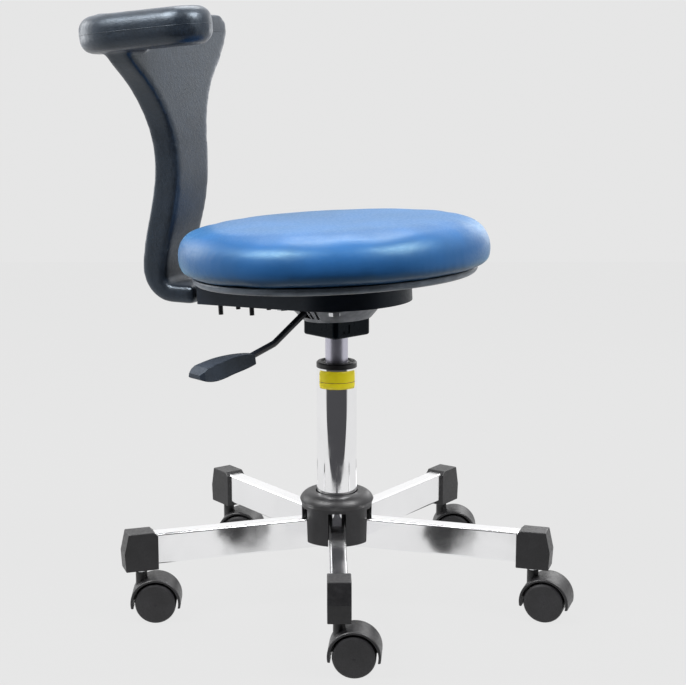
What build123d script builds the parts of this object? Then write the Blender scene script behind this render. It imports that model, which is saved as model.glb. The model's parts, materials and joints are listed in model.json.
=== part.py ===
from build123d import *
from math import cos, radians, sin
import os

# Dentist stool: a five-legged chromed base on twin-wheel casters, a gas lift, a tilted
# round cushion and a one-piece foam back support with a hooked top pad.
# Frame: origin on the floor at the column axis, +X forward, +Y to the sitter's left, +Z up.
# All lengths are millimetres and all angles are degrees.

# ---- driving dimensions ------------------------------------------------------------
BASE_TURN = -63.4
ARM_ANGLES = [BASE_TURN + 72 * k for k in range(5)]
CASTER_HEADINGS = [22.0, 7.0, 21.0, 18.0, 28.0]

ARM_WIDTH = 20.0
ARM_BOTTOM = 70.0
ARM_TOP = 108.0
ARM_WALL = 1.5
ARM_END = 262.0

HUB_TUBE_R = 29.0
HUB_TUBE_BOTTOM = 74.0
HUB_TUBE_TOP = 118.0

COLUMN_R = 25.0
COLUMN_FOOT_R = 24.3
COLUMN_BORE_R = 23.0
COLUMN_TOP = 297.0
FLOOR_PLATE = 3.0
COLLAR_TOP = 304.0

COVER_TOP = 139.0
COVER_BOTTOM = 78.0
COVER_R = 46.0
COVER_SKIRT_R = 42.8
COVER_MOUTH_R = 26.4
COVER_WALL = 2.5

CAP_WIDTH = 27.0
CAP_INNER = 231.0
CAP_OUTER = 272.5
CAP_BOTTOM = 64.0
CAP_TOP = 111.0

STEM_DISTANCE = 250.0
STEM_R = 5.5
STEM_NECK_R = 4.0
SOCKET_R = 7.5
TRAIL = 17.5
WHEEL_R = 24.7
WHEEL_INNER = 3.2
WHEEL_OUTER = 20.2
WHEEL_CROWN = 0.8
AXLE_R = 3.0
HOOD_R = 30.2
HOOD_WALL = 3.0
HOOD_WIDTH = 40.0
BOSS_R = 7.0
BOSS_TOP = 60.0

ROD_R = 5.0
CYLINDER_R = 14.0
CYLINDER_TOP_R = 13.3
CYLINDER_BOTTOM = 95.3
CYLINDER_TOP = 366.0
CHAMBER_R = 11.0
TAPER_BOTTOM = 341.0
SLIDE_GAP = 0.06
PIN_GAP = 0.05

SEAT_TILT = 3.1
FLANGE_TOP = 378.0
PLATE_TOP = 409.0
BOARD_TOP = 417.0
CUSHION_TOP = 479.0
CUSHION_R = 189.0
BOARD_R = 174.0
PLATE_R = 82.0
PLATE_MIDDLE = 12.0
TONGUE_HALF = 44.0
TONGUE_END = -172.0

MECHANISM_TURN = -21.0
BOLT_SPACING = 93.4
PAN_BOTTOM = 358.0
PAN_SHEET = 2.5
BOX_SIDE = 60.0
BOX_BOTTOM = 337.5
BOX_TOP = 357.0

LEVER_ANGLE = -112.0
LEVER_R = 4.0
LEVER_LEVEL = 376.3
LEVER_PIVOT = 34.0
VALVE_R = 3.0

BACK_HALF = 39.5
BACK_TOP = 724.0
FOOT_TIP = -182.0
PAD_HALF = 37.0
PAD_HEIGHT = 45.0
PAD_TILT = 5.0
PAD_MIDDLE = 704.0
BAR_THICK = 5.0
BAR_WIDTH = 58.0


# ---- working planes ----------------------------------------------------------------
def upright(angle, foot=(0, 0, 0)):
    """Vertical plane through foot: local x points out at this angle, local y is up."""
    a = radians(angle)
    return Plane(origin=foot, x_dir=(cos(a), sin(a), 0), z_dir=(sin(a), -cos(a), 0))


def facing(angle, distance, height):
    """Vertical plane square to this direction: local x is sideways, local y is up."""
    a = radians(angle)
    place = (distance * cos(a), distance * sin(a), height)
    return Plane(origin=place, x_dir=(-sin(a), cos(a), 0), z_dir=(cos(a), sin(a), 0))


def on_circle(angle, distance):
    """Point on the floor at this distance from the column axis."""
    return (distance * cos(radians(angle)), distance * sin(radians(angle)), 0)


TILT_X = (cos(radians(SEAT_TILT)), 0, sin(radians(SEAT_TILT)))
TILT_Z = (-sin(radians(SEAT_TILT)), 0, cos(radians(SEAT_TILT)))
FLANGE_PLANE = Plane(origin=(0, 0, FLANGE_TOP), x_dir=TILT_X, z_dir=TILT_Z)
TILT_FOOT = FLANGE_PLANE.offset(-FLANGE_TOP).origin
TILT_SECTION = Plane(origin=TILT_FOOT, x_dir=TILT_X, z_dir=(0, -1, 0))
TILT_AXIS = Axis(TILT_FOOT, TILT_Z)
MECHANISM_PLANE = Plane(FLANGE_PLANE.location * Location((0, 0, 0), (0, 0, MECHANISM_TURN)))


def tilted(height):
    """Plane of the tilted seat assembly that lies this high at the column axis."""
    return FLANGE_PLANE.offset(height - FLANGE_TOP)


def tilted_point(x, height):
    """Side view point (X, Z) for a place in the tilted assembly."""
    point = TILT_SECTION.from_local_coords((x, height, 0))
    return (point.X, point.Z)


def save(builder, label):
    """Label a finished piece and write it as its own file."""
    builder.part.label = label
    export_step(builder.part, f"parts/{label}.step")


os.makedirs("parts", exist_ok=True)

# ---- base frame --------------------------------------------------------------------
with BuildPart() as hub_tube:
    with BuildSketch(Plane.XZ):
        with BuildLine():
            Polyline(
                (COLUMN_FOOT_R, HUB_TUBE_BOTTOM),
                (HUB_TUBE_R, HUB_TUBE_BOTTOM),
                (HUB_TUBE_R, HUB_TUBE_TOP),
                (COLUMN_R, HUB_TUBE_TOP),
                close=True,
            )
        make_face()
    revolve(axis=Axis.Z)
save(hub_tube, "hub_tube")

for number, angle in enumerate(ARM_ANGLES, 1):
    arm_middle = (ARM_BOTTOM + ARM_TOP) / 2
    arm_height = ARM_TOP - ARM_BOTTOM
    with BuildPart() as arm:
        with BuildSketch(facing(angle, HUB_TUBE_R - 3, arm_middle)):
            RectangleRounded(ARM_WIDTH, arm_height, 2.5)
            RectangleRounded(
                ARM_WIDTH - 2 * ARM_WALL, arm_height - 2 * ARM_WALL, 1, mode=Mode.SUBTRACT
            )
        extrude(amount=ARM_END - HUB_TUBE_R + 3)
        with BuildSketch(Plane.XY.offset(ARM_BOTTOM - 1)):
            Circle(HUB_TUBE_R)
        extrude(amount=arm_height + 2, mode=Mode.SUBTRACT)
        stem_x, stem_y, _ = on_circle(angle, STEM_DISTANCE)
        with BuildSketch(Plane.XY.offset(ARM_BOTTOM - 1)):
            with Locations((stem_x, stem_y)):
                Circle(SOCKET_R)
        extrude(amount=ARM_WALL + 2, mode=Mode.SUBTRACT)
    save(arm, f"arm_{number}")

    with BuildPart() as arm_cap:
        with BuildSketch(upright(angle)):
            with BuildLine():
                Polyline(
                    (CAP_INNER, CAP_BOTTOM),
                    (CAP_OUTER - 1.5, CAP_BOTTOM),
                    (CAP_OUTER, CAP_BOTTOM + 22),
                    (CAP_OUTER - 5.5, CAP_TOP),
                    (CAP_INNER + 5.5, CAP_TOP),
                    (CAP_INNER, CAP_TOP - 5),
                    close=True,
                )
            make_face()
        extrude(amount=CAP_WIDTH / 2, both=True)
        fillet(arm_cap.edges(), 1.2)
        with BuildSketch(facing(angle, CAP_INNER - 4, arm_middle)):
            RectangleRounded(ARM_WIDTH, arm_height, 2.5)
        extrude(amount=ARM_END - CAP_INNER + 4, mode=Mode.SUBTRACT)
        with BuildSketch(Plane.XY.offset(CAP_BOTTOM - 1)):
            with Locations((stem_x, stem_y)):
                Circle(SOCKET_R)
        extrude(amount=ARM_BOTTOM - CAP_BOTTOM + 2, mode=Mode.SUBTRACT)
    save(arm_cap, f"arm_cap_{number}")

with BuildPart() as caster_sockets:
    with BuildSketch(Plane.XY.offset(CAP_BOTTOM)):
        with PolarLocations(STEM_DISTANCE, 5, start_angle=BASE_TURN):
            Circle(SOCKET_R)
            Circle(STEM_R, mode=Mode.SUBTRACT)
    extrude(amount=36)
save(caster_sockets, "caster_sockets")

with BuildPart() as caster_stems:
    with BuildSketch(Plane.XY.offset(BOSS_TOP + 0.3)):
        with PolarLocations(STEM_DISTANCE, 5, start_angle=BASE_TURN):
            Circle(STEM_R)
    extrude(amount=37)
    with BuildSketch(Plane.XY.offset(BOSS_TOP - 11)):
        with PolarLocations(STEM_DISTANCE, 5, start_angle=BASE_TURN):
            Circle(STEM_NECK_R)
    extrude(amount=11.3)
save(caster_stems, "caster_stems")

with BuildPart() as hub_cover:
    with BuildSketch(Plane.XZ):
        with BuildLine():
            Line((COVER_SKIRT_R, COVER_BOTTOM), (COVER_R - 2, 124))
            Line((COVER_R - 2, 124), (COVER_R, 129))
            ThreePointArc((COVER_R, 129), (41.5, 135.6), (31, COVER_TOP))
            Line((31, COVER_TOP), (COVER_MOUTH_R, COVER_TOP))
            Line((COVER_MOUTH_R, COVER_TOP), (COVER_MOUTH_R, COVER_TOP - COVER_WALL))
            Line((COVER_MOUTH_R, COVER_TOP - COVER_WALL), (30.5, COVER_TOP - COVER_WALL))
            ThreePointArc((30.5, COVER_TOP - COVER_WALL), (39.5, 133.4), (43.3, 128.5))
            Line((43.3, 128.5), (COVER_R - 2 - COVER_WALL, 124))
            Line((COVER_R - 2 - COVER_WALL, 124), (COVER_SKIRT_R - COVER_WALL, COVER_BOTTOM))
            Line((COVER_SKIRT_R - COVER_WALL, COVER_BOTTOM), (COVER_SKIRT_R, COVER_BOTTOM))
        make_face()
    revolve(axis=Axis.Z)
    for angle in ARM_ANGLES:
        with BuildSketch(facing(angle, 33, 98.5)):
            Rectangle(ARM_WIDTH + 2, 43)
        extrude(amount=18, mode=Mode.SUBTRACT)
save(hub_cover, "hub_cover")

# ---- gas lift: standing tube and its bearings ---------------------------------------
plate_top = HUB_TUBE_BOTTOM + FLOOR_PLATE
with BuildPart() as column_tube:
    with BuildSketch(Plane.XZ):
        with BuildLine():
            Polyline(
                (ROD_R + 0.08, HUB_TUBE_BOTTOM),
                (COLUMN_FOOT_R, HUB_TUBE_BOTTOM),
                (COLUMN_R, HUB_TUBE_TOP),
                (COLUMN_R, COLUMN_TOP),
                (COLUMN_BORE_R, COLUMN_TOP),
                (COLUMN_BORE_R, HUB_TUBE_TOP + 2),
                (COLUMN_FOOT_R - 2, plate_top),
                (ROD_R + 0.08, plate_top),
                close=True,
            )
        make_face()
    revolve(axis=Axis.Z)
save(column_tube, "column_tube")

with BuildPart() as guide_bush:
    with BuildSketch(Plane.XZ):
        with BuildLine():
            Polyline(
                (CYLINDER_R + SLIDE_GAP, 215),
                (COLUMN_BORE_R, 215),
                (COLUMN_BORE_R, COLUMN_TOP),
                (COLUMN_R, COLUMN_TOP),
                (COLUMN_R, COLLAR_TOP - 1.5),
                (COLUMN_R - 1.5, COLLAR_TOP),
                (21.5, COLLAR_TOP),
                (20.5, COLLAR_TOP - 2),
                (16.5, COLLAR_TOP - 2),
                (16, COLLAR_TOP - 0.5),
                (CYLINDER_R + SLIDE_GAP, COLLAR_TOP - 0.5),
                close=True,
            )
        make_face()
    revolve(axis=Axis.Z)
save(guide_bush, "guide_bush")

race_inner = ROD_R + 0.3
with BuildPart() as bearing_lower_race:
    with BuildSketch(Plane.XY.offset(plate_top)):
        Circle(12)
        Circle(race_inner, mode=Mode.SUBTRACT)
    extrude(amount=2.5)
save(bearing_lower_race, "bearing_lower_race")

ball_level = plate_top + 4
with BuildPart() as bearing_balls:
    with Locations(Plane.XY.offset(ball_level)):
        with PolarLocations(8.6, 10):
            Sphere(1.48)
save(bearing_balls, "bearing_balls")

with BuildPart() as bearing_upper_race:
    with BuildSketch(Plane.XY.offset(ball_level + 1.5)):
        Circle(12)
        Circle(ROD_R, mode=Mode.SUBTRACT)
    extrude(amount=2.5)
save(bearing_upper_race, "bearing_upper_race")

# ---- gas lift: piston rod, which turns with the seat --------------------------------
shoulder = ball_level + 4
with BuildPart() as piston_rod:
    with BuildSketch(Plane.XY.offset(HUB_TUBE_BOTTOM - 4)):
        Circle(ROD_R)
    extrude(amount=180)
    with BuildSketch(Plane.XY.offset(shoulder)):
        Circle(ROD_R + 2)
    extrude(amount=2)
save(piston_rod, "piston_rod")

with BuildPart() as piston_head:
    with BuildSketch(Plane.XY.offset(235)):
        Circle(CHAMBER_R - PIN_GAP)
        Circle(ROD_R, mode=Mode.SUBTRACT)
    extrude(amount=13)
save(piston_head, "piston_head")

with BuildPart() as rod_clip:
    with BuildSketch(Plane.XY.offset(HUB_TUBE_BOTTOM - 2.4)):
        Circle(9)
        Circle(ROD_R, mode=Mode.SUBTRACT)
    extrude(amount=2.3)
save(rod_clip, "rod_clip")

with BuildPart() as rubber_buffer:
    with BuildSketch(Plane.XY.offset(shoulder + 2)):
        Circle(11)
        Circle(ROD_R, mode=Mode.SUBTRACT)
    extrude(amount=CYLINDER_BOTTOM - 0.3 - shoulder - 2)
save(rubber_buffer, "rubber_buffer")

# ---- gas lift: pressure cylinder, which carries the seat ----------------------------
guide_top = CYLINDER_BOTTOM + 15
chamber_top = 350.0
with BuildPart() as gas_cylinder:
    with BuildSketch(Plane.XZ):
        with BuildLine():
            Polyline(
                (CHAMBER_R - 1.5, CYLINDER_BOTTOM),
                (CYLINDER_R, CYLINDER_BOTTOM),
                (CYLINDER_R, TAPER_BOTTOM),
                (CYLINDER_TOP_R, CYLINDER_TOP),
                (VALVE_R + PIN_GAP, CYLINDER_TOP),
                (VALVE_R + PIN_GAP, chamber_top),
                (CHAMBER_R, chamber_top),
                (CHAMBER_R, CYLINDER_BOTTOM + 1),
                (CHAMBER_R - 1.5, CYLINDER_BOTTOM + 1),
                close=True,
            )
        make_face()
    revolve(axis=Axis.Z)
save(gas_cylinder, "gas_cylinder")

with BuildPart() as rod_guide:
    with BuildSketch(Plane.XY.offset(CYLINDER_BOTTOM + 1)):
        Circle(CHAMBER_R)
        Circle(ROD_R + PIN_GAP, mode=Mode.SUBTRACT)
    extrude(amount=guide_top - CYLINDER_BOTTOM - 1)
save(rod_guide, "rod_guide")

valve_top = LEVER_LEVEL - LEVER_R - 0.4
with BuildPart() as valve_pin:
    with BuildSketch(Plane.XY.offset(chamber_top + 2)):
        Circle(VALVE_R)
    extrude(amount=valve_top - chamber_top - 2)
    chamfer(valve_pin.faces().sort_by(Axis.Z)[-1].edges(), 0.6)
save(valve_pin, "valve_pin")

# ---- seat mechanism ----------------------------------------------------------------
socket_r = 17.5
with BuildPart() as taper_socket:
    with BuildSketch(Plane.XZ):
        with BuildLine():
            Polyline(
                (CYLINDER_R, TAPER_BOTTOM),
                (socket_r, TAPER_BOTTOM),
                (socket_r, CYLINDER_TOP),
                (CYLINDER_TOP_R, CYLINDER_TOP),
                close=True,
            )
        make_face()
    revolve(axis=Axis.Z)
save(taper_socket, "taper_socket")

pan_foot_r = 42.0
pan_mouth_r = 58.0
slot_width = 11.5
slot_bottom = 362.75
slot_top = 377.0
with BuildPart() as mechanism_pan:
    with BuildSketch(TILT_SECTION):
        with BuildLine():
            Polyline(
                (12, PAN_BOTTOM),
                (pan_foot_r, PAN_BOTTOM),
                (pan_mouth_r, FLANGE_TOP - PAN_SHEET),
                (pan_mouth_r, FLANGE_TOP),
                (pan_mouth_r - 3, FLANGE_TOP),
                (pan_foot_r - 1.8, PAN_BOTTOM + PAN_SHEET),
                (12, PAN_BOTTOM + PAN_SHEET),
                close=True,
            )
        make_face()
    revolve(axis=TILT_AXIS)
    with BuildSketch(MECHANISM_PLANE.offset(-PAN_SHEET)):
        RectangleRounded(118, 118, 14)
        Circle(pan_mouth_r - 1, mode=Mode.SUBTRACT)
        with GridLocations(BOLT_SPACING, BOLT_SPACING, 2, 2):
            Circle(4.25, mode=Mode.SUBTRACT)
    extrude(amount=PAN_SHEET)
    for side in (-1, 1):
        with BuildSketch(upright(LEVER_ANGLE).offset(side * 6)):
            with Locations((LEVER_PIVOT, (PAN_BOTTOM + 383) / 2)):
                Rectangle(11, 383 - PAN_BOTTOM - 1)
        extrude(amount=1.5, both=True)
    with BuildSketch(upright(LEVER_ANGLE)):
        with Locations((LEVER_PIVOT, LEVER_LEVEL)):
            Circle(2)
    extrude(amount=10, both=True, mode=Mode.SUBTRACT)
    with BuildSketch(facing(LEVER_ANGLE, 40, (slot_bottom + slot_top) / 2)):
        Rectangle(slot_width, slot_top - slot_bottom)
    extrude(amount=20, mode=Mode.SUBTRACT)
    for angle in (LEVER_ANGLE + 11, LEVER_ANGLE + 20.5):
        with BuildSketch(facing(angle, 38, 368)):
            Rectangle(3.2, 11)
        extrude(amount=19, mode=Mode.SUBTRACT)
    with BuildSketch(Plane.XY.offset(PAN_BOTTOM - 5)):
        Circle(socket_r)
    extrude(amount=12, mode=Mode.SUBTRACT)
save(mechanism_pan, "mechanism_pan")

# The box has a shallow moulded recess with a catch near one corner.
recess_depth = 1.2
recess_level = 348.5
recess_side = -12.0
with BuildPart() as hub_box:
    with BuildSketch(Plane.XY.offset(BOX_BOTTOM).rotated((0, 0, MECHANISM_TURN))):
        RectangleRounded(BOX_SIDE, BOX_SIDE, 6)
    extrude(amount=BOX_TOP + 4 - BOX_BOTTOM)
    fillet(hub_box.faces().sort_by(Axis.Z)[0].edges(), 3)
    with BuildSketch(Plane.XY.offset(BOX_BOTTOM + 2).rotated((0, 0, MECHANISM_TURN))):
        RectangleRounded(BOX_SIDE - 5, BOX_SIDE - 5, 4)
    extrude(amount=BOX_TOP + 6 - BOX_BOTTOM, mode=Mode.SUBTRACT)
    with BuildSketch(Plane.XY.offset(BOX_BOTTOM - 1)):
        Circle(CYLINDER_R)
    extrude(amount=5, mode=Mode.SUBTRACT)
    with BuildSketch(tilted(PAN_BOTTOM)):
        Rectangle(120, 120)
    extrude(amount=30, mode=Mode.SUBTRACT)
    with BuildSketch(facing(MECHANISM_TURN, BOX_SIDE / 2 - recess_depth, recess_level)):
        with Locations((recess_side, 0)):
            RectangleRounded(12, 11, 1.5)
    extrude(amount=recess_depth + 1, mode=Mode.SUBTRACT)
    with BuildSketch(facing(MECHANISM_TURN, BOX_SIDE / 2 - recess_depth - 0.5, recess_level - 4)):
        with Locations((recess_side, 0)):
            Rectangle(5, 1.6)
    extrude(amount=recess_depth + 0.5)
save(hub_box, "hub_box")

with BuildPart() as mechanism_bolts:
    with BuildSketch(MECHANISM_PLANE.offset(-PAN_SHEET)):
        with GridLocations(BOLT_SPACING, BOLT_SPACING, 2, 2):
            RegularPolygon(6.5, 6, major_radius=False)
    extrude(amount=-5.3)
    with BuildSketch(MECHANISM_PLANE.offset(-PAN_SHEET)):
        with GridLocations(BOLT_SPACING, BOLT_SPACING, 2, 2):
            Circle(4)
    extrude(amount=40)
save(mechanism_bolts, "mechanism_bolts")

with BuildPart() as seat_t_nuts:
    with BuildSketch(MECHANISM_PLANE.offset(PLATE_TOP - FLANGE_TOP)):
        with GridLocations(BOLT_SPACING, BOLT_SPACING, 2, 2):
            Circle(5.5)
            Circle(4, mode=Mode.SUBTRACT)
    extrude(amount=BOARD_TOP - PLATE_TOP)
    with BuildSketch(MECHANISM_PLANE.offset(BOARD_TOP - FLANGE_TOP - 1.5)):
        with GridLocations(BOLT_SPACING, BOLT_SPACING, 2, 2):
            Circle(10)
            Circle(4, mode=Mode.SUBTRACT)
    extrude(amount=1.5)
save(seat_t_nuts, "seat_t_nuts")

with BuildPart() as lever_pin:
    with BuildSketch(upright(LEVER_ANGLE)):
        with Locations((LEVER_PIVOT, LEVER_LEVEL)):
            Circle(2)
    extrude(amount=9, both=True)
save(lever_pin, "lever_pin")

# ---- height lever ------------------------------------------------------------------
rod_points = [(-7, LEVER_LEVEL), (42, LEVER_LEVEL), (100, 338.5), (160, 320.5)]
with BuildPart() as lever_rod:
    with BuildLine(upright(LEVER_ANGLE)) as rod_path:
        FilletPolyline(rod_points, radius=18)
    with BuildSketch(Plane(origin=rod_path.line @ 0, z_dir=rod_path.line % 0)):
        Circle(LEVER_R)
    sweep()
    with BuildSketch(upright(LEVER_ANGLE)):
        with Locations((LEVER_PIVOT, LEVER_LEVEL)):
            Circle(2 + SLIDE_GAP)
    extrude(amount=10, both=True, mode=Mode.SUBTRACT)
save(lever_rod, "lever_rod")

# Paddle: sloped sides that meet the top in a clear ridge, and a blunt chamfered end.
paddle_start = 134.0
paddle_end = 219.0
paddle_slope = 11.0
with BuildPart() as lever_handle:
    with BuildSketch(upright(LEVER_ANGLE)):
        with BuildLine():
            Spline((paddle_start, 331), (150, 332.5), (190, 329.5), (209, 325.5))
            Polyline(
                (209, 325.5),
                (paddle_end, 318.5),
                (paddle_end, 313.5),
                (215, 311.5),
            )
            Spline((215, 311.5), (194, 309.5), (176, 312.5), (150, 316), (paddle_start, 319.5))
            Line((paddle_start, 319.5), (paddle_start, 331))
        make_face()
    extrude(amount=20, both=True)
    with BuildSketch(Plane.XY.offset(309).rotated((0, 0, LEVER_ANGLE))):
        with BuildLine():
            Polyline(
                (paddle_start - 6, -10),
                (150, -11.5),
                (182, -15.5),
                (214, -15.5),
                (222, -10),
                (222, 10),
                (214, 15.5),
                (182, 15.5),
                (150, 11.5),
                (paddle_start - 6, 10),
                close=True,
            )
        make_face()
    extrude(amount=26, taper=paddle_slope, mode=Mode.INTERSECT)
    fillet(lever_handle.edges(), 0.9)
    add(lever_rod.part, mode=Mode.SUBTRACT)
save(lever_handle, "lever_handle")

# ---- back support ------------------------------------------------------------------
bar_level = 386.8
bar_end = -88.0
screw_spacing_x = 44.5
screw_spacing_y = 44.0
screw_middle = -129.5

with BuildPart() as back_bar:
    with BuildSketch(Plane.XZ):
        with BuildLine():
            FilletPolyline(
                tilted_point(bar_end, bar_level),
                tilted_point(-239, bar_level),
                (-218, 545),
                (-233, 650),
                radius=18,
            )
        trace(line_width=BAR_THICK)
    extrude(amount=BAR_WIDTH / 2, both=True)
    with BuildSketch(tilted(bar_level - 10)):
        with Locations((screw_middle, 0)):
            with GridLocations(screw_spacing_x, screw_spacing_y, 2, 2):
                Circle(3)
    extrude(amount=20, mode=Mode.SUBTRACT)
save(back_bar, "back_bar")

# Top pad: a straight rounded roll along the slab that hooks forward round the right side.
pad_line_x = -266.0
pad_line_y = -104.0
pad_far_y = 72.0
pad_tip_x = -151.0
pad_bend = 32.0
pad_inner_bend = 12.0
pad_plane = Plane(
    origin=(-210, 0, PAD_MIDDLE),
    x_dir=(cos(radians(PAD_TILT)), 0, sin(radians(PAD_TILT))),
    z_dir=(-sin(radians(PAD_TILT)), 0, cos(radians(PAD_TILT))),
)
rear_x = pad_line_x - PAD_HALF + 210
front_x = pad_line_x + PAD_HALF + 210
tip_x = pad_tip_x + 210
outer_y = pad_line_y - PAD_HALF
inner_y = pad_line_y + PAD_HALF
bend_x = pad_line_x + pad_bend + 210
bend_y = pad_line_y + pad_bend
with BuildPart() as back_pad:
    with BuildSketch(pad_plane):
        with BuildLine():
            Line((front_x, inner_y + pad_inner_bend), (front_x, pad_far_y))
            ThreePointArc(
                (front_x, pad_far_y),
                (pad_line_x + 210, pad_far_y + PAD_HALF),
                (rear_x, pad_far_y),
            )
            Line((rear_x, pad_far_y), (rear_x, bend_y))
            RadiusArc((rear_x, bend_y), (bend_x, outer_y), -pad_bend - PAD_HALF)
            Line((bend_x, outer_y), (tip_x, outer_y))
            ThreePointArc((tip_x, outer_y), (tip_x + PAD_HALF, pad_line_y), (tip_x, inner_y))
            Line((tip_x, inner_y), (front_x + pad_inner_bend, inner_y))
            RadiusArc(
                (front_x + pad_inner_bend, inner_y),
                (front_x, inner_y + pad_inner_bend),
                pad_inner_bend,
            )
        make_face()
    extrude(amount=PAD_HEIGHT / 2, both=True)
    fillet(back_pad.faces().sort_by(Axis.Z)[-1].edges(), 17)
    fillet(back_pad.faces().sort_by(Axis.Z)[0].edges(), 17)

with BuildPart() as back_foam:
    with BuildSketch(Plane.XZ):
        with BuildLine():
            Spline(
                (-226, BACK_TOP),
                (-220, 680),
                (-209.5, 620),
                (-199.5, 543),
                (-206, 480),
                (-220, 425),
                (-223, 400),
            )
            ThreePointArc((-223, 400), (-219, 391.5), (-210, 388.8))
            Line((-210, 388.8), (FOOT_TIP, 389.6))
            Line((FOOT_TIP, 389.6), (FOOT_TIP, 366.2))
            Line((FOOT_TIP, 366.2), (-212, 366.2))
            ThreePointArc((-212, 366.2), (-243, 377.5), (-256.2, 408))
            Spline(
                (-256.2, 408),
                (-253, 440),
                (-243.5, 480),
                (-235.3, 540),
                (-241, 592),
                (-251, 650),
                (-262, BACK_TOP),
            )
            Line((-262, BACK_TOP), (-226, BACK_TOP))
        make_face()
    extrude(amount=130, both=True)
    with BuildSketch(Plane.YZ.offset(-300)):
        with BuildLine():
            Line((0, 350), (BACK_HALF - 1.5, 350))
            Line((BACK_HALF - 1.5, 350), (BACK_HALF, 480))
            Spline(
                (BACK_HALF, 480),
                (BACK_HALF, 540),
                (47, 591),
                (58, 614),
                (80, 643),
                (101, 662),
                (117, 679),
                (131, 697),
            )
            ThreePointArc((131, 697), (129, 716), (113, BACK_TOP + 1))
            Line((113, BACK_TOP + 1), (0, BACK_TOP + 1))
            mirror(about=Plane.YZ)
        make_face()
    extrude(amount=200, mode=Mode.INTERSECT)
    fillet(back_foam.edges().filter_by(lambda e: e.length > 45), 5)
    add(back_pad.part)
    add(back_bar.part, mode=Mode.SUBTRACT)
save(back_foam, "back_foam")

# ---- seat --------------------------------------------------------------------------
screw_head_r = 5.5
screw_head = 2.5
screw_tip = 16.0
with BuildPart() as seat_spacer:
    with BuildSketch(FLANGE_PLANE):
        with Locations((PLATE_MIDDLE, 0)):
            Circle(PLATE_R)
        with BuildLine():
            Polyline(
                (TONGUE_END, TONGUE_HALF),
                (-5.3, 80.1),
                (-5.3, -80.1),
                (TONGUE_END, -TONGUE_HALF),
                close=True,
            )
        make_face()
    extrude(amount=PLATE_TOP - FLANGE_TOP)
    with BuildSketch(FLANGE_PLANE):
        Circle(52)
    extrude(amount=8, mode=Mode.SUBTRACT)
    with BuildSketch(MECHANISM_PLANE):
        with GridLocations(BOLT_SPACING, BOLT_SPACING, 2, 2):
            Circle(4.25)
    extrude(amount=PLATE_TOP - FLANGE_TOP, mode=Mode.SUBTRACT)
    with BuildSketch(FLANGE_PLANE):
        with Locations((screw_middle, 0)):
            with GridLocations(screw_spacing_x, screw_spacing_y, 2, 2):
                Circle(3)
    extrude(amount=PLATE_TOP - FLANGE_TOP, mode=Mode.SUBTRACT)
    with BuildSketch(tilted(PLATE_TOP - screw_head)):
        with Locations((screw_middle, 0)):
            with GridLocations(screw_spacing_x, screw_spacing_y, 2, 2):
                Circle(screw_head_r)
    extrude(amount=screw_head, mode=Mode.SUBTRACT)
    with BuildSketch(tilted(bar_level - BAR_THICK / 2)):
        with Locations(((bar_end + TONGUE_END) / 2 - 5, 0)):
            Rectangle(bar_end - TONGUE_END + 10, BAR_WIDTH)
    extrude(amount=BAR_THICK, mode=Mode.SUBTRACT)
save(seat_spacer, "seat_spacer")

with BuildPart() as back_screws:
    with BuildSketch(tilted(FLANGE_TOP - screw_tip)):
        with Locations((screw_middle, 0)):
            with GridLocations(screw_spacing_x, screw_spacing_y, 2, 2):
                Circle(3)
    extrude(amount=PLATE_TOP - FLANGE_TOP + screw_tip)
    with BuildSketch(tilted(PLATE_TOP - screw_head)):
        with Locations((screw_middle, 0)):
            with GridLocations(screw_spacing_x, screw_spacing_y, 2, 2):
                Circle(screw_head_r)
    extrude(amount=screw_head)
save(back_screws, "back_screws")

with BuildPart() as seat_board:
    with BuildSketch(TILT_SECTION):
        with BuildLine():
            Line((0, PLATE_TOP), (BOARD_R - 7, PLATE_TOP))
            ThreePointArc(
                (BOARD_R - 7, PLATE_TOP),
                (BOARD_R - 1.8, PLATE_TOP + 2.3),
                (BOARD_R, PLATE_TOP + 7),
            )
            Polyline(
                (BOARD_R, PLATE_TOP + 7),
                (BOARD_R - 0.5, BOARD_TOP + 0.5),
                (BOARD_R - 2.5, BOARD_TOP + 0.5),
                (BOARD_R - 2.5, BOARD_TOP),
                (0, BOARD_TOP),
                (0, PLATE_TOP),
            )
        make_face()
    revolve(axis=TILT_AXIS)
    add(seat_t_nuts.part, mode=Mode.SUBTRACT)
    with BuildSketch(MECHANISM_PLANE.offset(PLATE_TOP - FLANGE_TOP)):
        with GridLocations(BOLT_SPACING, BOLT_SPACING, 2, 2):
            Circle(5)
    extrude(amount=BOARD_TOP - PLATE_TOP, mode=Mode.SUBTRACT)
save(seat_board, "seat_board")

with BuildPart() as seat_cushion:
    with BuildSketch(TILT_SECTION):
        with BuildLine():
            Line((0, BOARD_TOP), (166, BOARD_TOP))
            Line((166, BOARD_TOP), (170, BOARD_TOP + 3))
            Spline(
                (170, BOARD_TOP + 3),
                (184, BOARD_TOP + 14),
                (CUSHION_R, BOARD_TOP + 30),
                (185, BOARD_TOP + 45),
                (171, BOARD_TOP + 57.5),
                (148, CUSHION_TOP),
                tangents=((1, 0.5), (-1, 0)),
            )
            Line((148, CUSHION_TOP), (0, CUSHION_TOP))
            Line((0, CUSHION_TOP), (0, BOARD_TOP))
        make_face()
    revolve(axis=TILT_AXIS)
save(seat_cushion, "seat_cushion")

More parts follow.
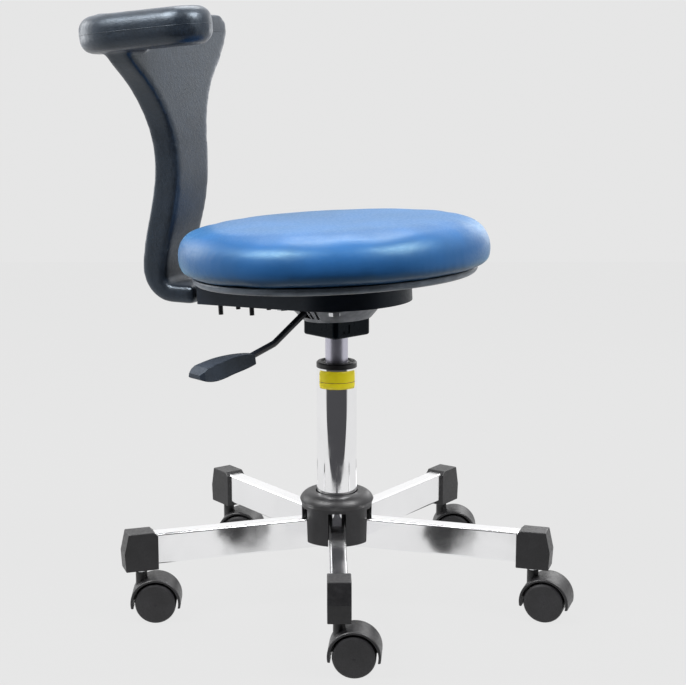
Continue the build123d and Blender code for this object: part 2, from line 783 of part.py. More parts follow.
# ---- casters -----------------------------------------------------------------------
web_half = 2.5
boss_bottom = 34.0
neck_depth = 11.4
tip_level = WHEEL_R - 6
axle_half = WHEEL_OUTER - 3.6
wheel_bore_end = WHEEL_OUTER - 3
for number, (angle, heading) in enumerate(zip(ARM_ANGLES, CASTER_HEADINGS), 1):
    stem_foot = on_circle(angle, STEM_DISTANCE)
    side_plane = upright(heading, stem_foot)
    with BuildPart() as caster_hood:
        with BuildSketch(side_plane):
            with Locations((TRAIL, WHEEL_R)):
                Circle(HOOD_R)
            with Locations((TRAIL, tip_level - HOOD_R)):
                Rectangle(3 * HOOD_R, 2 * HOOD_R, mode=Mode.SUBTRACT)
        extrude(amount=HOOD_WIDTH / 2, both=True)
        fillet(caster_hood.edges().filter_by(GeomType.CIRCLE), 2)
        with BuildSketch(Plane.XY.offset(boss_bottom)):
            with Locations(stem_foot[:2]):
                Circle(BOSS_R)
        extrude(amount=BOSS_TOP - boss_bottom)
        for side in (-1, 1):
            with BuildSketch(side_plane.offset(side * web_half)):
                with Locations((TRAIL, WHEEL_R)):
                    Circle(HOOD_R - HOOD_WALL)
            extrude(amount=side * HOOD_WIDTH, mode=Mode.SUBTRACT)
        with BuildSketch(side_plane):
            with Locations((TRAIL, WHEEL_R - HOOD_R)):
                Rectangle(2 * (HOOD_R - HOOD_WALL), 2 * HOOD_R)
        extrude(amount=web_half, both=True, mode=Mode.SUBTRACT)
        with BuildSketch(side_plane):
            with Locations((TRAIL, WHEEL_R)):
                Circle(2 * AXLE_R)
        extrude(amount=web_half, both=True)
        with BuildSketch(side_plane):
            with Locations((TRAIL, WHEEL_R)):
                Circle(AXLE_R)
        extrude(amount=web_half, both=True, mode=Mode.SUBTRACT)
        with BuildSketch(Plane.XY.offset(BOSS_TOP - neck_depth)):
            with Locations(stem_foot[:2]):
                Circle(STEM_NECK_R + PIN_GAP)
        extrude(amount=neck_depth, mode=Mode.SUBTRACT)
    save(caster_hood, f"caster_hood_{number}")

    with BuildPart() as caster_axle:
        with BuildSketch(side_plane):
            with Locations((TRAIL, WHEEL_R)):
                Circle(AXLE_R)
        extrude(amount=axle_half, both=True)
    save(caster_axle, f"caster_axle_{number}")

    turn = radians(heading)
    hub = (stem_foot[0] + TRAIL * cos(turn), stem_foot[1] + TRAIL * sin(turn), WHEEL_R)
    wheel_plane = Plane(origin=hub, x_dir=(cos(turn), sin(turn), 0), z_dir=(0, 0, 1))
    for letter, side in (("a", -1), ("b", 1)):
        with BuildPart() as wheel:
            with BuildSketch(wheel_plane):
                with BuildLine():
                    Polyline(
                        (0, side * (WHEEL_OUTER + WHEEL_CROWN)),
                        (0, side * wheel_bore_end),
                        (AXLE_R + PIN_GAP, side * wheel_bore_end),
                        (AXLE_R + PIN_GAP, side * WHEEL_INNER),
                        (7.5, side * WHEEL_INNER),
                        (7.5, side * (WHEEL_OUTER - 6)),
                        (21, side * (WHEEL_OUTER - 6)),
                        (21, side * WHEEL_INNER),
                        (WHEEL_R - 0.8, side * WHEEL_INNER),
                        (WHEEL_R, side * (WHEEL_INNER + 0.8)),
                        (WHEEL_R, side * (WHEEL_OUTER - 3)),
                        (WHEEL_R - 0.9, side * (WHEEL_OUTER - 1)),
                        (WHEEL_R - 3, side * WHEEL_OUTER),
                        close=True,
                    )
                make_face()
            revolve(axis=Axis(hub, (-sin(turn), cos(turn), 0)))
        save(wheel, f"wheel_{letter}_{number}")
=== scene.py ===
import json
import math

import bmesh
import bpy
import numpy as np
from mathutils import Matrix, Vector


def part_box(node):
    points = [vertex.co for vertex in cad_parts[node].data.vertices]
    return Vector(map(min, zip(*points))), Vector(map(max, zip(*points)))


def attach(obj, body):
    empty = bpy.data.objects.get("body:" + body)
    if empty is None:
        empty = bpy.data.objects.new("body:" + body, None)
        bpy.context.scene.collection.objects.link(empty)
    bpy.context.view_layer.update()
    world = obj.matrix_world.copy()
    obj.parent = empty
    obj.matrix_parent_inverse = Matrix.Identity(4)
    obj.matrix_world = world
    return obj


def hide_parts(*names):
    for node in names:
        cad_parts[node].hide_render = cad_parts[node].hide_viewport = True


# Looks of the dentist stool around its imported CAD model. Metres, +Z up, +X forward.
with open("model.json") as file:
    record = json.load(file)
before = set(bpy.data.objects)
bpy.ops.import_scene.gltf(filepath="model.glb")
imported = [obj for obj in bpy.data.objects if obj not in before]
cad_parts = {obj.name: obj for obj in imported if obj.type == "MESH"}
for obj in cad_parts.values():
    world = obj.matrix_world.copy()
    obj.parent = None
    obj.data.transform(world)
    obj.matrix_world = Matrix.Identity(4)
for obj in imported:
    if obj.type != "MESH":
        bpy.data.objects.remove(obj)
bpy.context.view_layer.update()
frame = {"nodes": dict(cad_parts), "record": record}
nodes = frame["nodes"]


def new_object(name, data):
    """Object with this data, linked to the scene."""
    made = bpy.data.objects.new(name, data)
    bpy.context.scene.collection.objects.link(made)
    return made


# ---- camera ------------------------------------------------------------------------
CAMERA_SIDE = math.radians(-64)
CAMERA_DISTANCE = 1.9572
CAMERA_HEIGHT = 0.7054
CAMERA_PITCH = math.radians(10.948)
CAMERA_YAW = math.radians(-0.229)
SENSOR_WIDTH_MM = 36
LENS_MM = 85


def make_camera():
    data = bpy.data.cameras.new("camera")
    data.sensor_width = SENSOR_WIDTH_MM
    data.lens = LENS_MM
    camera = new_object("camera", data)
    camera.location = (
        CAMERA_DISTANCE * math.cos(CAMERA_SIDE),
        CAMERA_DISTANCE * math.sin(CAMERA_SIDE),
        CAMERA_HEIGHT,
    )
    camera.rotation_euler = (
        math.pi / 2 - CAMERA_PITCH,
        0,
        CAMERA_SIDE + math.pi / 2 + CAMERA_YAW,
    )
    bpy.context.scene.camera = camera


bpy.context.scene.view_settings.view_transform = "Standard"
make_camera()


# ---- stage: floor, surroundings and lights -----------------------------------------
WHITE = (1, 1, 1, 1)
FLOOR_GREY = (0.010, 0.010, 0.010, 1)
FLOOR_GLOW = 0.772  # seen by the camera and in reflections
FLOOR_BOUNCE = 0.05  # light that the floor sends on to dull surfaces
BACKDROP = 0.79
STUDIO = 1.0
AMBIENT_BEHIND = 0.85
AMBIENT_FRONT = 0.03
AMBIENT_TURN = 0.45  # facing level where the ambient light is at its lowest
# A stretch of dark behind the photographer, which shows in the chrome.
DARK_ZONE = (0.065, 0.065, 0.07, 1)
DARK_ZONE_SPAN = (0.42, 0.62)
DARK_ZONE_DROP = -0.35
# A thin dark band just over the horizon, given as heights of the ray's direction.
HORIZON = (0.06, 0.06, 0.07, 1)
HORIZON_SPAN = (0.01, 0.07)
HORIZON_END = 0.12
SEAT_MIDDLE = Vector((0, 0, 0.45))
# Name, angle from the camera, elevation (degrees), distance, size (metres), power (watts).
SOFT_BOXES = [
    ("left_box", -57, 47, 1.8, 0.8, 50),
    ("right_box", 57, 47, 1.8, 0.8, 44),
    ("left_rim", -118, 14, 1.7, 0.9, 8),
    ("right_rim", 150, 10, 1.8, 0.8, 4),
    ("back_box", 180, 62, 2.2, 1.2, 28),
]


def make_floor(front=0.52, back=3.0, half=3.0):
    """Pale floor sheet with its front edge square to the view."""
    across = Vector((-math.sin(CAMERA_SIDE), math.cos(CAMERA_SIDE), 0))
    towards = Vector((math.cos(CAMERA_SIDE), math.sin(CAMERA_SIDE), 0))
    corners = [
        towards * front - across * half,
        towards * front + across * half,
        across * half - towards * back,
        -across * half - towards * back,
    ]
    mesh = bpy.data.meshes.new("floor")
    mesh.from_pydata(corners, [], [(0, 1, 2, 3)])
    floor = new_object("floor", mesh)
    material = bpy.data.materials.new("floor_paper")
    material.use_nodes = True
    tree = material.node_tree
    shader = tree.nodes["Principled BSDF"]
    shader.inputs["Base Color"].default_value = FLOOR_GREY
    shader.inputs["Roughness"].default_value = 0.9
    shader.inputs["Specular IOR Level"].default_value = 0.0
    shader.inputs["Emission Color"].default_value = WHITE
    rays = tree.nodes.new("ShaderNodeLightPath")
    glow = tree.nodes.new("ShaderNodeMapRange")
    glow.inputs["To Min"].default_value = FLOOR_GLOW
    glow.inputs["To Max"].default_value = FLOOR_BOUNCE
    tree.links.new(rays.outputs["Is Diffuse Ray"], glow.inputs["Value"])
    tree.links.new(glow.outputs["Result"], shader.inputs["Emission Strength"])
    mesh.materials.append(material)


def background(tree, strength):
    node = tree.nodes.new("ShaderNodeBackground")
    node.inputs["Color"].default_value = WHITE
    node.inputs["Strength"].default_value = strength
    return node


def choose(tree, condition, otherwise, when_true):
    """Shader that is when_true for the rays that meet the condition."""
    node = tree.nodes.new("ShaderNodeMixShader")
    tree.links.new(condition, node.inputs["Fac"])
    tree.links.new(otherwise.outputs[0], node.inputs[1])
    tree.links.new(when_true.outputs[0], node.inputs[2])
    return node


def multiply(tree, first, second):
    """Product of two colours."""
    node = tree.nodes.new("ShaderNodeMix")
    node.data_type = "RGBA"
    node.blend_type = "MULTIPLY"
    node.inputs["Factor"].default_value = 1.0
    tree.links.new(first, node.inputs["A"])
    tree.links.new(second, node.inputs["B"])
    return node.outputs["Result"]


def make_surroundings():
    """Bright studio all round, with the dark stretch and the horizon band in reflections."""
    world = bpy.data.worlds.new("studio")
    bpy.context.scene.world = world
    world.use_nodes = True
    tree = world.node_tree
    tree.nodes.clear()
    place = tree.nodes.new("ShaderNodeTexCoord")
    facing = tree.nodes.new("ShaderNodeVectorMath")
    facing.operation = "DOT_PRODUCT"
    facing.inputs[1].default_value = (
        math.cos(CAMERA_SIDE),
        math.sin(CAMERA_SIDE),
        DARK_ZONE_DROP,
    )
    tree.links.new(place.outputs["Generated"], facing.inputs[0])
    shade = tree.nodes.new("ShaderNodeValToRGB")
    for element, position, colour in zip(
        shade.color_ramp.elements, DARK_ZONE_SPAN, (WHITE, DARK_ZONE)
    ):
        element.position = position
        element.color = colour
    tree.links.new(facing.outputs["Value"], shade.inputs["Fac"])
    rise = tree.nodes.new("ShaderNodeSeparateXYZ")
    tree.links.new(place.outputs["Generated"], rise.inputs["Vector"])
    horizon = tree.nodes.new("ShaderNodeValToRGB")
    horizon.color_ramp.elements[0].color = WHITE
    horizon.color_ramp.elements[1].position = HORIZON_END
    horizon.color_ramp.elements[1].color = WHITE
    for height in HORIZON_SPAN:
        horizon.color_ramp.elements.new(height).color = HORIZON
    tree.links.new(rise.outputs["Z"], horizon.inputs["Fac"])
    studio = background(tree, STUDIO)
    reflected = multiply(tree, shade.outputs["Color"], horizon.outputs["Color"])
    tree.links.new(reflected, studio.inputs["Color"])
    wrap = tree.nodes.new("ShaderNodeMapRange")
    wrap.inputs["From Min"].default_value = -1.0
    wrap.inputs["From Max"].default_value = AMBIENT_TURN
    wrap.inputs["To Min"].default_value = AMBIENT_BEHIND
    wrap.inputs["To Max"].default_value = AMBIENT_FRONT
    tree.links.new(facing.outputs["Value"], wrap.inputs["Value"])
    ambient = background(tree, 1.0)
    tree.links.new(wrap.outputs["Result"], ambient.inputs["Strength"])
    backdrop = background(tree, BACKDROP)
    rays = tree.nodes.new("ShaderNodeLightPath")
    lit = choose(tree, rays.outputs["Is Diffuse Ray"], studio, ambient)
    seen = choose(tree, rays.outputs["Is Camera Ray"], lit, backdrop)
    output = tree.nodes.new("ShaderNodeOutputWorld")
    tree.links.new(seen.outputs[0], output.inputs["Surface"])


def make_light(name, side, elevation, distance, size, power):
    """Square soft box aimed at the seat; side is its angle from the camera."""
    turn = CAMERA_SIDE + math.radians(side)
    rise = math.radians(elevation)
    direction = Vector(
        (math.cos(turn) * math.cos(rise), math.sin(turn) * math.cos(rise), math.sin(rise))
    )
    data = bpy.data.lights.new(name, "AREA")
    data.size = size
    data.energy = power
    light = new_object(name, data)
    light.location = SEAT_MIDDLE + direction * distance
    light.rotation_euler = (-direction).to_track_quat("-Z", "Y").to_euler()


make_floor()
make_surroundings()
for soft_box in SOFT_BOXES:
    make_light(*soft_box)


# ---- material helpers --------------------------------------------------------------
def new_material(name, roughness, metallic=0.0):
    material = bpy.data.materials.new(name)
    material.use_nodes = True
    tree = material.node_tree
    shader = tree.nodes["Principled BSDF"]
    shader.inputs["Roughness"].default_value = roughness
    shader.inputs["Metallic"].default_value = metallic
    return material, tree, shader


def noise(tree, size, detail=3.0, stretch=(1, 1, 1)):
    """Noise whose features are about this many metres across."""
    place = tree.nodes.new("ShaderNodeTexCoord")
    mapping = tree.nodes.new("ShaderNodeMapping")
    mapping.inputs["Scale"].default_value = stretch
    texture = tree.nodes.new("ShaderNodeTexNoise")
    texture.inputs["Scale"].default_value = 1 / size
    texture.inputs["Detail"].default_value = detail
    tree.links.new(place.outputs["Object"], mapping.inputs["Vector"])
    tree.links.new(mapping.outputs["Vector"], texture.inputs["Vector"])
    return texture.outputs["Fac"]


def cells(tree, size):
    """Distance field of small cells, for leather and moulded grain."""
    place = tree.nodes.new("ShaderNodeTexCoord")
    texture = tree.nodes.new("ShaderNodeTexVoronoi")
    texture.feature = "F1"
    texture.inputs["Scale"].default_value = 1 / size
    tree.links.new(place.outputs["Object"], texture.inputs["Vector"])
    return texture.outputs["Distance"]


def ramp(tree, value, low, high, low_at=0.35, high_at=0.65):
    """Colour or grey level that runs from low to high as value rises."""
    node = tree.nodes.new("ShaderNodeValToRGB")
    node.color_ramp.elements[0].position = low_at
    node.color_ramp.elements[0].color = (*low, 1)
    node.color_ramp.elements[1].position = high_at
    node.color_ramp.elements[1].color = (*high, 1)
    tree.links.new(value, node.inputs["Fac"])
    return node.outputs["Color"]


def vary(tree, socket, size, low, high):
    """Makes a socket drift between two colours or levels in patches of this size."""
    tree.links.new(ramp(tree, noise(tree, size), low, high), socket)


def grey(level):
    return (level, level, level)


def tint(colour, factor):
    return tuple(min(1.0, c * factor) for c in colour)


def add_bump(tree, shader, height, depth):
    """Relief of this depth in metres. Reliefs added later sit on the earlier ones."""
    node = tree.nodes.new("ShaderNodeBump")
    node.inputs["Strength"].default_value = 1.0
    node.inputs["Distance"].default_value = depth
    tree.links.new(height, node.inputs["Height"])
    if shader.inputs["Normal"].is_linked:
        earlier = shader.inputs["Normal"].links[0].from_socket
        tree.links.new(earlier, node.inputs["Normal"])
    tree.links.new(node.outputs["Normal"], shader.inputs["Normal"])


# ---- kinds of material -------------------------------------------------------------
CLOUD_SIZE = 0.02
FLECK_SIZE = 0.0012
GLOSS_SIZE = 0.004
GLOSS_SPREAD = 0.06
COOL_SHEEN = (0.76, 0.85, 1.0, 1)


def moulded(
    name,
    colour,
    roughness,
    grain=0.0007,
    depth=0.00002,
    spread=0.25,
    shine=0.4,
    sheen=0.0,
    cool=0.0,
    speckle=0.0,
):
    """Moulded plastic, rubber or foam skin: fine cells, faint clouds of colour and gloss.

    spread and speckle are how far the clouds and the fine flecks leave the colour;
    cool turns the reflections blue.
    """
    material, tree, shader = new_material(name, roughness)
    shader.inputs["Specular IOR Level"].default_value = shine
    shader.inputs["Specular Tint"].default_value = (1 - 0.25 * cool, 1 - 0.13 * cool, 1, 1)
    shader.inputs["Sheen Weight"].default_value = sheen
    shader.inputs["Sheen Roughness"].default_value = 0.5
    shader.inputs["Sheen Tint"].default_value = COOL_SHEEN
    clouds = ramp(
        tree, noise(tree, CLOUD_SIZE), tint(colour, 1 - spread), tint(colour, 1 + spread)
    )
    flecks = ramp(
        tree, noise(tree, FLECK_SIZE, detail=1.0), grey(1 - speckle), grey(1 + speckle)
    )
    tree.links.new(multiply(tree, clouds, flecks), shader.inputs["Base Color"])
    vary(
        tree,
        shader.inputs["Roughness"],
        GLOSS_SIZE,
        grey(roughness - GLOSS_SPREAD),
        grey(roughness + GLOSS_SPREAD),
    )
    add_bump(tree, shader, cells(tree, grain), depth)
    add_bump(tree, shader, noise(tree, grain * 3), depth * 1.5)
    return material


def plated(name, colour, low, high, patch=0.03, stretch=(1, 1, 1), lines=0.0):
    """Plated metal with hazy patches, its roughness between low and high.

    lines adds a drawn grain of this depth, longer along the axes that stretch shrinks.
    """
    material, tree, shader = new_material(name, low, metallic=1.0)
    haze = noise(tree, patch, detail=5.0)
    tree.links.new(
        ramp(tree, haze, grey(low), grey(high), 0.45, 0.75), shader.inputs["Roughness"]
    )
    vary(tree, shader.inputs["Base Color"], patch * 1.7, tint(colour, 0.95), colour)
    if lines:
        add_bump(tree, shader, noise(tree, 0.0008, stretch=stretch), lines)
    return material


def painted(name, colour, roughness):
    """Powder coat or black oxide: a fine orange peel."""
    material, tree, shader = new_material(name, roughness)
    vary(tree, shader.inputs["Base Color"], 0.01, tint(colour, 0.85), tint(colour, 1.15))
    add_bump(tree, shader, noise(tree, 0.0015), 0.00008)
    return material


def vinyl(name, colour):
    """Smooth coated cloth: faint leather cells and a slow change of colour."""
    material, tree, shader = new_material(name, 0.38)
    shader.inputs["Specular IOR Level"].default_value = 0.42
    shader.inputs["Specular Tint"].default_value = (0.6, 0.95, 1.0, 1)
    shader.inputs["Sheen Weight"].default_value = 0.15
    shader.inputs["Sheen Roughness"].default_value = 0.4
    shader.inputs["Sheen Tint"].default_value = (0.35, 0.8, 1.0, 1)
    vary(tree, shader.inputs["Base Color"], 0.05, tint(colour, 0.9), tint(colour, 1.1))
    vary(tree, shader.inputs["Roughness"], 0.003, grey(0.33), grey(0.45))
    add_bump(tree, shader, cells(tree, 0.0011), 0.00002)
    add_bump(tree, shader, noise(tree, 0.004), 0.00004)
    return material


def pressed_steel(name):
    """Light grey coated steel sheet."""
    material, tree, shader = new_material(name, 0.4, metallic=0.35)
    vary(tree, shader.inputs["Base Color"], 0.012, (0.13, 0.14, 0.16), (0.22, 0.23, 0.25))
    add_bump(tree, shader, noise(tree, 0.0012), 0.00008)
    return material


LABEL_SPAN = (0.2725, 0.2950)  # heights of the label's lower and upper edges
LABEL_YELLOW = (1.0, 0.84, 0.02, 1)
LABEL_RULE = (0.10, 0.10, 0.05, 1)
LABEL_RULE_SPAN = (0.33, 0.36)  # as shares of the label's height


def sticker(name):
    """Yellow film with one plain rule across its lower part; the film also glows faintly, a
    painted brightening of the label.
    """
    material, tree, shader = new_material(name, 0.35)
    place = tree.nodes.new("ShaderNodeTexCoord")
    parts = tree.nodes.new("ShaderNodeSeparateXYZ")
    tree.links.new(place.outputs["Object"], parts.inputs["Vector"])
    level = tree.nodes.new("ShaderNodeMapRange")
    level.inputs["From Min"].default_value = LABEL_SPAN[0]
    level.inputs["From Max"].default_value = LABEL_SPAN[1]
    tree.links.new(parts.outputs["Z"], level.inputs["Value"])
    bands = tree.nodes.new("ShaderNodeValToRGB")
    bands.color_ramp.interpolation = "CONSTANT"
    rule_low, rule_high = LABEL_RULE_SPAN
    bands.color_ramp.elements[0].color = LABEL_YELLOW
    bands.color_ramp.elements[1].position = rule_high
    bands.color_ramp.elements[1].color = LABEL_YELLOW
    bands.color_ramp.elements.new(rule_low).color = LABEL_RULE
    tree.links.new(level.outputs["Result"], bands.inputs["Fac"])
    wear = ramp(tree, noise(tree, 0.004), grey(0.86), grey(1.0))
    worn_and_glow = multiply(tree, bands.outputs["Color"], wear)
    tree.links.new(worn_and_glow, shader.inputs["Base Color"])
    # The worn film colour also drives a faint emission: painted glow that brightens the
    # label.
    tree.links.new(worn_and_glow, shader.inputs["Emission Color"])
    shader.inputs["Emission Strength"].default_value = 0.3
    add_bump(tree, shader, noise(tree, 0.003), 0.00003)
    return material


# ---- materials of the stool --------------------------------------------------------
CHROME = (0.97, 0.97, 0.98)
DARK = (0.012, 0.0117, 0.013)
dark_plastic = {"shine": 0.5, "speckle": 0.3}
materials = {
    "chrome": plated("chrome", CHROME, 0.03, 0.16),
    "steel": plated("zinc_plate", (0.66, 0.67, 0.69), 0.18, 0.32, patch=0.01),
    "cylinder_steel": plated(
        "cylinder_plate", (0.60, 0.59, 0.68), 0.34, 0.42, stretch=(1, 1, 0.05), lines=0.00002
    ),
    "pan_steel": pressed_steel("pressed_steel"),
    "hidden_steel": painted("coated_bar", (0.04, 0.04, 0.045), 0.45),
    "black_plastic": moulded("base_plastic", DARK, 0.40, **dark_plastic),
    "box_plastic": moulded(
        "cover_plastic",
        (0.002, 0.005, 0.009),
        0.3,
        depth=0.000006,
        spread=0.15,
        shine=0.1,
        cool=1.0,
    ),
    "spacer_plastic": moulded(
        "spacer_plastic", (0.004, 0.006, 0.011), 0.42, shine=0.3, sheen=0.08, cool=1.0
    ),
    "caster_plastic": moulded("caster_plastic", DARK, 0.40, **dark_plastic),
    "wheel_plastic": moulded("wheel_plastic", tint(DARK, 1.3), 0.38, **dark_plastic),
    "lever_black": painted("lever_coat", (0.012, 0.015, 0.022), 0.34),
    "handle_plastic": moulded(
        "handle_plastic", (0.014, 0.019, 0.028), 0.46, depth=0.00004, sheen=0.08, cool=1.0
    ),
    "back_foam": moulded(
        "foam_skin",
        (0.005, 0.008, 0.013),
        0.34,
        grain=0.0015,
        depth=0.00010,
        shine=0.6,
        sheen=0.12,
        cool=1.0,
        speckle=0.6,
    ),
    "screw_black": painted("black_oxide", (0.012, 0.013, 0.014), 0.4),
    "seat_board": moulded(
        "board_wrap", (0.15, 0.175, 0.21), 0.38, shine=0.6, sheen=0.1, cool=1.0
    ),
    "cushion_vinyl": vinyl("blue_vinyl", (0.013, 0.072, 0.21)),
    "buffer_rubber": moulded("buffer_rubber", (0.012, 0.012, 0.012), 0.7),
    "label_film": sticker("label_film"),
}
arm_chrome = plated("arm_chrome", CHROME, 0.10, 0.26, patch=0.05)
arm_names = {f"arm_{number}" for number in range(1, 6)}
for part in frame["record"]["subparts"]:
    is_arm = part["node"] in arm_names
    for material_slot in nodes[part["node"]].material_slots:
        material_slot.material = arm_chrome if is_arm else materials[part["material_slot"]]


# ---- mesh helpers ------------------------------------------------------------------
def mesh_object(name, points, faces):
    mesh = bpy.data.meshes.new(name)
    mesh.from_pydata(points, [], faces)
    return new_object(name, mesh)


def finish_piece(piece, slot, body):
    """Smooth-shaded piece that rides on a body and takes its finish from a slot."""
    piece.data.materials.clear()
    piece.data.materials.append(materials[slot])
    for face in piece.data.polygons:
        face.use_smooth = True
    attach(piece, body)


def apply_modifiers(piece):
    """Bakes the piece's modifiers into its mesh."""
    evaluated = piece.evaluated_get(bpy.context.evaluated_depsgraph_get())
    mesh = bpy.data.meshes.new_from_object(evaluated)
    piece.modifiers.clear()
    old = piece.data
    piece.data = mesh
    bpy.data.meshes.remove(old)


def points_of(piece):
    data = np.empty(len(piece.data.vertices) * 3)
    piece.data.vertices.foreach_get("co", data)
    return data.reshape(-1, 3)


def set_points(piece, points):
    piece.data.vertices.foreach_set("co", points.ravel())
    piece.data.update()


def remesh(piece, voxel):
    modifier = piece.modifiers.new("remesh", "REMESH")
    modifier.mode = "VOXEL"
    modifier.voxel_size = voxel
    apply_modifiers(piece)


def relax(piece, rounds):
    """Evens out the surface."""
    modifier = piece.modifiers.new("relax", "SMOOTH")
    modifier.iterations = rounds
    modifier.factor = 0.5
    apply_modifiers(piece)


def subdivide(piece):
    modifier = piece.modifiers.new("subdivision", "SUBSURF")
    modifier.levels = 1
    modifier.render_levels = 1
    apply_modifiers(piece)


def inflate(piece, cap, pressure=4.0, frames=20):
    """Swells the piece as tight cloth; no point moves further than cap."""
    start = points_of(piece)
    cloth = piece.modifiers.new("cloth", "CLOTH")
    cloth.settings.use_pressure = True
    cloth.settings.uniform_pressure_force = pressure
    cloth.settings.effector_weights.gravity = 0
    cloth.point_cache.frame_start = 1
    cloth.point_cache.frame_end = frames
    for number in range(1, frames + 1):
        bpy.context.scene.frame_set(number)
    apply_modifiers(piece)
    bpy.context.scene.frame_set(1)
    moves = points_of(piece) - start
    lengths = np.linalg.norm(moves, axis=1, keepdims=True)
    held = moves * np.minimum(1, cap / np.maximum(lengths, 1e-9))
    set_points(piece, start + held)


# ---- seat cushion ------------------------------------------------------------------
# The cushion is made level, with its middle at the origin and heights over the board's
# top face. It is then tilted and lifted onto the board.
SEAT_TILT = math.radians(3.1)
BOARD_TOP = 0.00325  # the board's top face over the middle of its box
BOARD_RADIUS = 0.1742
BOARD_GAP = 0.0004
CUSHION_HEIGHT = 0.063
# Side outlines at the back and at the front, then the crown that they share, all as
# (radius, height).
BACK_OUTLINE = [
    (0.173, 0.0),
    (0.1845, 0.009),
    (0.189, 0.026),
    (0.185, 0.046),
    (0.172, 0.057),
]
FRONT_OUTLINE = [
    (0.173, 0.0),
    (0.1865, 0.007),
    (0.1895, 0.021),
    (0.1865, 0.038),
    (0.175, 0.053),
]
CROWN = [(0.150, 0.0608), (0.120, 0.0622), (0.080, 0.0628), (0.040, 0.0630)]
# The cover hangs lower past the board's edge, most at the left and right ends of the
# camera's view. The sag ends at SAG_HEIGHT, and grows over SAG_WIDTH from SAG_RADIUS.
EDGE_SAG = 0.0045
SAG_HEIGHT = 0.03
SAG_RADIUS = 0.174
SAG_WIDTH = 0.006
CUSHION_VOXEL = 0.005
CUT_SCALE = (0.995, 0.995, 0.99)  # the cloth starts a little small, because it swells
SWELL = 0.0025


def curve_through(points, steps=5):
    """Points of a uniform Catmull-Rom curve through these points."""
    points = [np.array(p, float) for p in points]
    padded = [2 * points[0] - points[1]] + points + [2 * points[-1] - points[-2]]
    result = []
    for a, b, c, d in zip(padded, padded[1:], padded[2:], padded[3:]):
        for t in np.linspace(0, 1, steps, endpoint=False):
            result.append(
                0.5
                * (
                    2 * b
                    + (c - a) * t
                    + (2 * a - 5 * b + 4 * c - d) * t**2
                    + (3 * b - a - 3 * c + d) * t**3
                )
            )
    result.append(points[-1])
    return result


def cushion_blank(name, segments=144):
    """Round cushion whose side rolls over lower at the front than at the back."""
    back = curve_through(BACK_OUTLINE + CROWN)
    front = curve_through(FRONT_OUTLINE + CROWN)
    points, faces = [], []
    rings = len(back)
    for number in range(segments):
        angle = 2 * math.pi * number / segments
        share = (1 + math.cos(angle)) / 2
        for rear, fore in zip(back, front):
            radius, height = rear * (1 - share) + fore * share
            outward = min(1, max(0, (radius - SAG_RADIUS) / SAG_WIDTH))
            low = max(0, 1 - height / SAG_HEIGHT) * outward
            height -= EDGE_SAG * low * math.sin(angle - CAMERA_SIDE) ** 2
            points.append((radius * math.cos(angle), radius * math.sin(angle), height))
    for number in range(segments):
        here, beside = number * rings, (number + 1) % segments * rings
        for ring in range(rings - 1):
            faces.append((here + ring, beside + ring, beside + ring + 1, here + ring + 1))
    faces.append([number * rings + rings - 1 for number in range(segments)])
    faces.append([number * rings for number in reversed(range(segments))])
    return mesh_object(name, points, faces)


def make_cushion():
    """Cover swollen by cloth pressure, brought back to the size it was cut to."""
    cushion = cushion_blank("seat_cushion_cover")
    cut_size = np.ptp(points_of(cushion), axis=0)
    remesh(cushion, CUSHION_VOXEL)
    relax(cushion, 3)
    set_points(cushion, points_of(cushion) * CUT_SCALE)
    inflate(cushion, cap=SWELL)
    relax(cushion, 18)
    subdivide(cushion)
    shape = points_of(cushion)
    shape *= cut_size / np.ptp(shape, axis=0)
    shape[:, 2] += CUSHION_HEIGHT - shape[:, 2].max()
    over_board = np.hypot(shape[:, 0], shape[:, 1]) < BOARD_RADIUS
    shape[over_board, 2] = np.maximum(shape[over_board, 2], BOARD_GAP)
    set_points(cushion, shape)
    board_low, board_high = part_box("seat_board")
    board_middle = Matrix.Translation((board_low + board_high) / 2)
    tilt = Matrix.Rotation(-SEAT_TILT, 4, "Y")
    cushion.data.transform(board_middle @ tilt @ Matrix.Translation((0, 0, BOARD_TOP)))
    finish_piece(cushion, "cushion_vinyl", "seat")
    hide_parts("seat_cushion")


make_cushion()


# ---- back support ------------------------------------------------------------------
BAR_FOOT_GAP = 0.010
FOAM_VOXEL = 0.003
# Parting line of the moulding: a point on its plane, and half the width of the ridge.
MOULD_LINE_MIDDLE = (-0.210, 0, 0.704)
MOULD_LINE_TILT = math.radians(5)
MOULD_LINE_RADIUS = 0.0004


def merged(name, shapes):
    """Object made of several shapes, each a list of points and a list of faces."""
    points, faces = [], []
    for shape_points, shape_faces in shapes:
        first = len(points)
        points += [tuple(p) for p in shape_points]
        faces += [tuple(first + i for i in face) for face in shape_faces]
    return mesh_object(name, points, faces)


def shape_of(node):
    mesh = nodes[node].data
    return [v.co.copy() for v in mesh.vertices], [tuple(f.vertices) for f in mesh.polygons]


def make_back():
    """One-piece foam body: the CAD solid rounded like a moulding.

    The bar fills its own slot in the foam, so the remesh closes it. The bar's foot is cut
    short of the seat block, so none of it stands out of the foam.
    """
    bar_points, bar_faces = shape_of("back_bar")
    foot_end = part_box("seat_spacer")[0].x - BAR_FOOT_GAP
    for point in bar_points:
        point.x = min(point.x, foot_end)
    back = merged("back_foam_body", [shape_of("back_foam"), (bar_points, bar_faces)])
    remesh(back, FOAM_VOXEL)
    relax(back, 8)
    subdivide(back)
    finish_piece(back, "back_foam", "seat")
    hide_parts("back_foam")
    return back


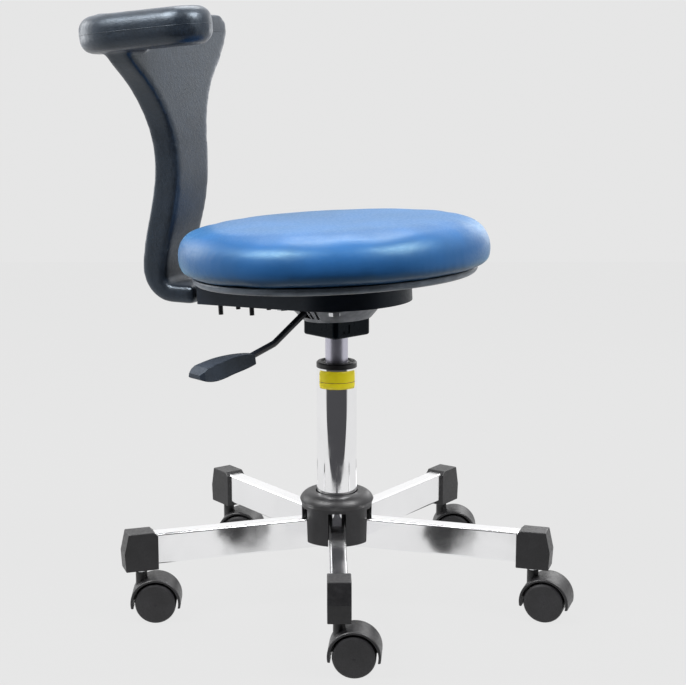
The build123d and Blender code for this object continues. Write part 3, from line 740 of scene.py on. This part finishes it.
def outline_at(piece, middle, normal):
    """Points of the closed line where a plane cuts the piece."""
    work = bmesh.new()
    work.from_mesh(piece.data)
    bmesh.ops.bisect_plane(
        work,
        geom=work.verts[:] + work.edges[:] + work.faces[:],
        plane_co=middle,
        plane_no=normal,
        clear_inner=True,
        clear_outer=True,
    )
    here = work.verts[:][0]
    route, came_by = [], None
    while here is not None and (not route or here is not route[0]):
        route.append(here)
        onward = [edge for edge in here.link_edges if edge is not came_by]
        came_by = onward[0] if onward else None
        here = came_by.other_vert(here) if came_by else None
    points = [vertex.co.copy() for vertex in route]
    work.free()
    return points


def make_mould_line(back):
    """Parting line of the moulding, a fine ridge round the pad at mid height."""
    normal = (-math.sin(MOULD_LINE_TILT), 0, math.cos(MOULD_LINE_TILT))
    route = outline_at(back, MOULD_LINE_MIDDLE, normal)
    curve = bpy.data.curves.new("pad_mould_line", "CURVE")
    curve.dimensions = "3D"
    curve.bevel_depth = MOULD_LINE_RADIUS
    curve.bevel_resolution = 1
    spline = curve.splines.new("POLY")
    spline.points.add(len(route) - 1)
    for point, place in zip(spline.points, route):
        point.co = (*place, 1)
    spline.use_cyclic_u = True
    line = new_object("pad_mould_line", curve)
    mesh = bpy.data.meshes.new_from_object(line)
    bpy.data.objects.remove(line)
    finish_piece(new_object("pad_mould_line", mesh), "back_foam", "seat")


make_mould_line(make_back())


# ---- column label ------------------------------------------------------------------
LABEL_HALF_ANGLE = math.radians(60)
LABEL_TURN = math.radians(2.5)  # from the camera's side
LABEL_CORNER = 0.0015
LABEL_LIFTS = (0.00012, 0.00002)  # outer and inner face over the tube


def make_label(columns=32, rows=6):
    """Thin film with round corners, wrapped on the standing tube."""
    tube_low, tube_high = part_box("column_tube")
    tube_radius = (tube_high.x - tube_low.x) / 2
    low, high = LABEL_SPAN
    points, faces = [], []
    for lift in LABEL_LIFTS:
        radius = tube_radius + lift
        for row in range(rows + 1):
            height = low + (high - low) * row / rows
            edge = min(height - low, high - height)
            inside = max(0, LABEL_CORNER - edge)
            cut = LABEL_CORNER - math.sqrt(max(0, LABEL_CORNER**2 - inside**2))
            reach = LABEL_HALF_ANGLE - cut / tube_radius
            for column in range(columns + 1):
                angle = CAMERA_SIDE + LABEL_TURN + reach * (2 * column / columns - 1)
                points.append((radius * math.cos(angle), radius * math.sin(angle), height))
    width = columns + 1
    layer_size = (rows + 1) * width
    for row in range(rows):
        for column in range(columns):
            outer = row * width + column
            faces.append((outer, outer + 1, outer + 1 + width, outer + width))
            inner = outer + layer_size
            faces.append((inner + width, inner + 1 + width, inner + 1, inner))
    border = (
        list(range(columns))
        + [columns + width * row for row in range(rows)]
        + [rows * width + column for column in range(columns, 0, -1)]
        + [width * row for row in range(rows, 0, -1)]
    )
    for here, beyond in zip(border, border[1:] + border[:1]):
        faces.append((beyond, here, here + layer_size, beyond + layer_size))
    finish_piece(mesh_object("column_label", points, faces), "label_film", "base")


make_label()
